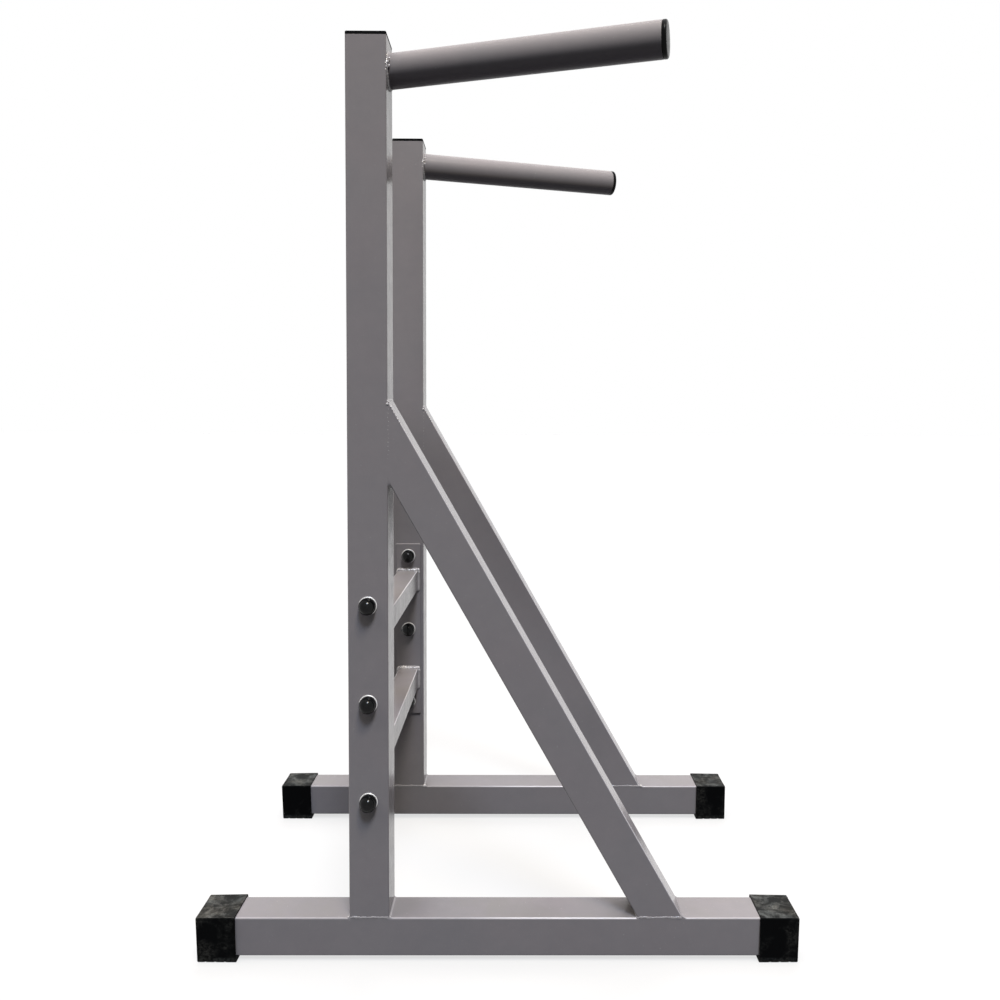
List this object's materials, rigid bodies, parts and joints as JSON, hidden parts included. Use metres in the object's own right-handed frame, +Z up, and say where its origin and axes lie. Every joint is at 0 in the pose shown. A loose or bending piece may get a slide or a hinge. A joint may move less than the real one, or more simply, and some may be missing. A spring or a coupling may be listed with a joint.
{
  "type": "dip station",
  "caption": "Free-standing dip station: square-tube uprights with diagonal braces carry round arms that splay outward, joined by a bolted ladder, on base rails with rubber boots.",
  "frame": {"origin": "on the floor, under the middle of the base, at the centre of the bounding box's bottom face", "axes": "+X the way the arms point, +Y across the stand from the right frame to the left frame, +Z up"},
  "size_m": [0.9258, 0.7572, 1.4016],
  "materials": {
    "frame_paint": "semi-gloss grey powder coat on welded steel tube and plate",
    "boot_rubber": "matt black moulded rubber",
    "plug_plastic": "black moulded plastic with a soft sheen",
    "cap_plastic": "glossy black moulded plastic",
    "zinc_plate": "bright zinc-plated steel"
  },
  "bodies": {
    "root": {"base_rail_left": "frame_paint", "upright_left": "frame_paint", "brace_left": "frame_paint", "arm_left": "frame_paint", "boot_front_left": "boot_rubber", "boot_rear_left": "boot_rubber", "upright_plug_left": "plug_plastic", "arm_plug_left": "plug_plastic", "flange_plate_left": "frame_paint", "outer_washer_left_1": "zinc_plate", "bolt_left_1": "zinc_plate", "outer_cap_left_1": "cap_plastic", "inner_washer_left_1": "zinc_plate", "nut_left_1": "zinc_plate", "inner_cap_left_1": "cap_plastic", "outer_washer_left_2": "zinc_plate", "bolt_left_2": "zinc_plate", "outer_cap_left_2": "cap_plastic", "inner_washer_left_2": "zinc_plate", "nut_left_2": "zinc_plate", "inner_cap_left_2": "cap_plastic", "outer_washer_left_3": "zinc_plate", "bolt_left_3": "zinc_plate", "outer_cap_left_3": "cap_plastic", "inner_washer_left_3": "zinc_plate", "nut_left_3": "zinc_plate", "inner_cap_left_3": "cap_plastic", "base_rail_right": "frame_paint", "upright_right": "frame_paint", "brace_right": "frame_paint", "arm_right": "frame_paint", "boot_front_right": "boot_rubber", "boot_rear_right": "boot_rubber", "upright_plug_right": "plug_plastic", "arm_plug_right": "plug_plastic", "flange_plate_right": "frame_paint", "outer_washer_right_1": "zinc_plate", "bolt_right_1": "zinc_plate", "outer_cap_right_1": "cap_plastic", "inner_washer_right_1": "zinc_plate", "nut_right_1": "zinc_plate", "inner_cap_right_1": "cap_plastic", "outer_washer_right_2": "zinc_plate", "bolt_right_2": "zinc_plate", "outer_cap_right_2": "cap_plastic", "inner_washer_right_2": "zinc_plate", "nut_right_2": "zinc_plate", "inner_cap_right_2": "cap_plastic", "outer_washer_right_3": "zinc_plate", "bolt_right_3": "zinc_plate", "outer_cap_right_3": "cap_plastic", "inner_washer_right_3": "zinc_plate", "nut_right_3": "zinc_plate", "inner_cap_right_3": "cap_plastic", "upper_crossbar": "frame_paint", "lower_crossbar": "frame_paint"}
  },
  "joints": []
}
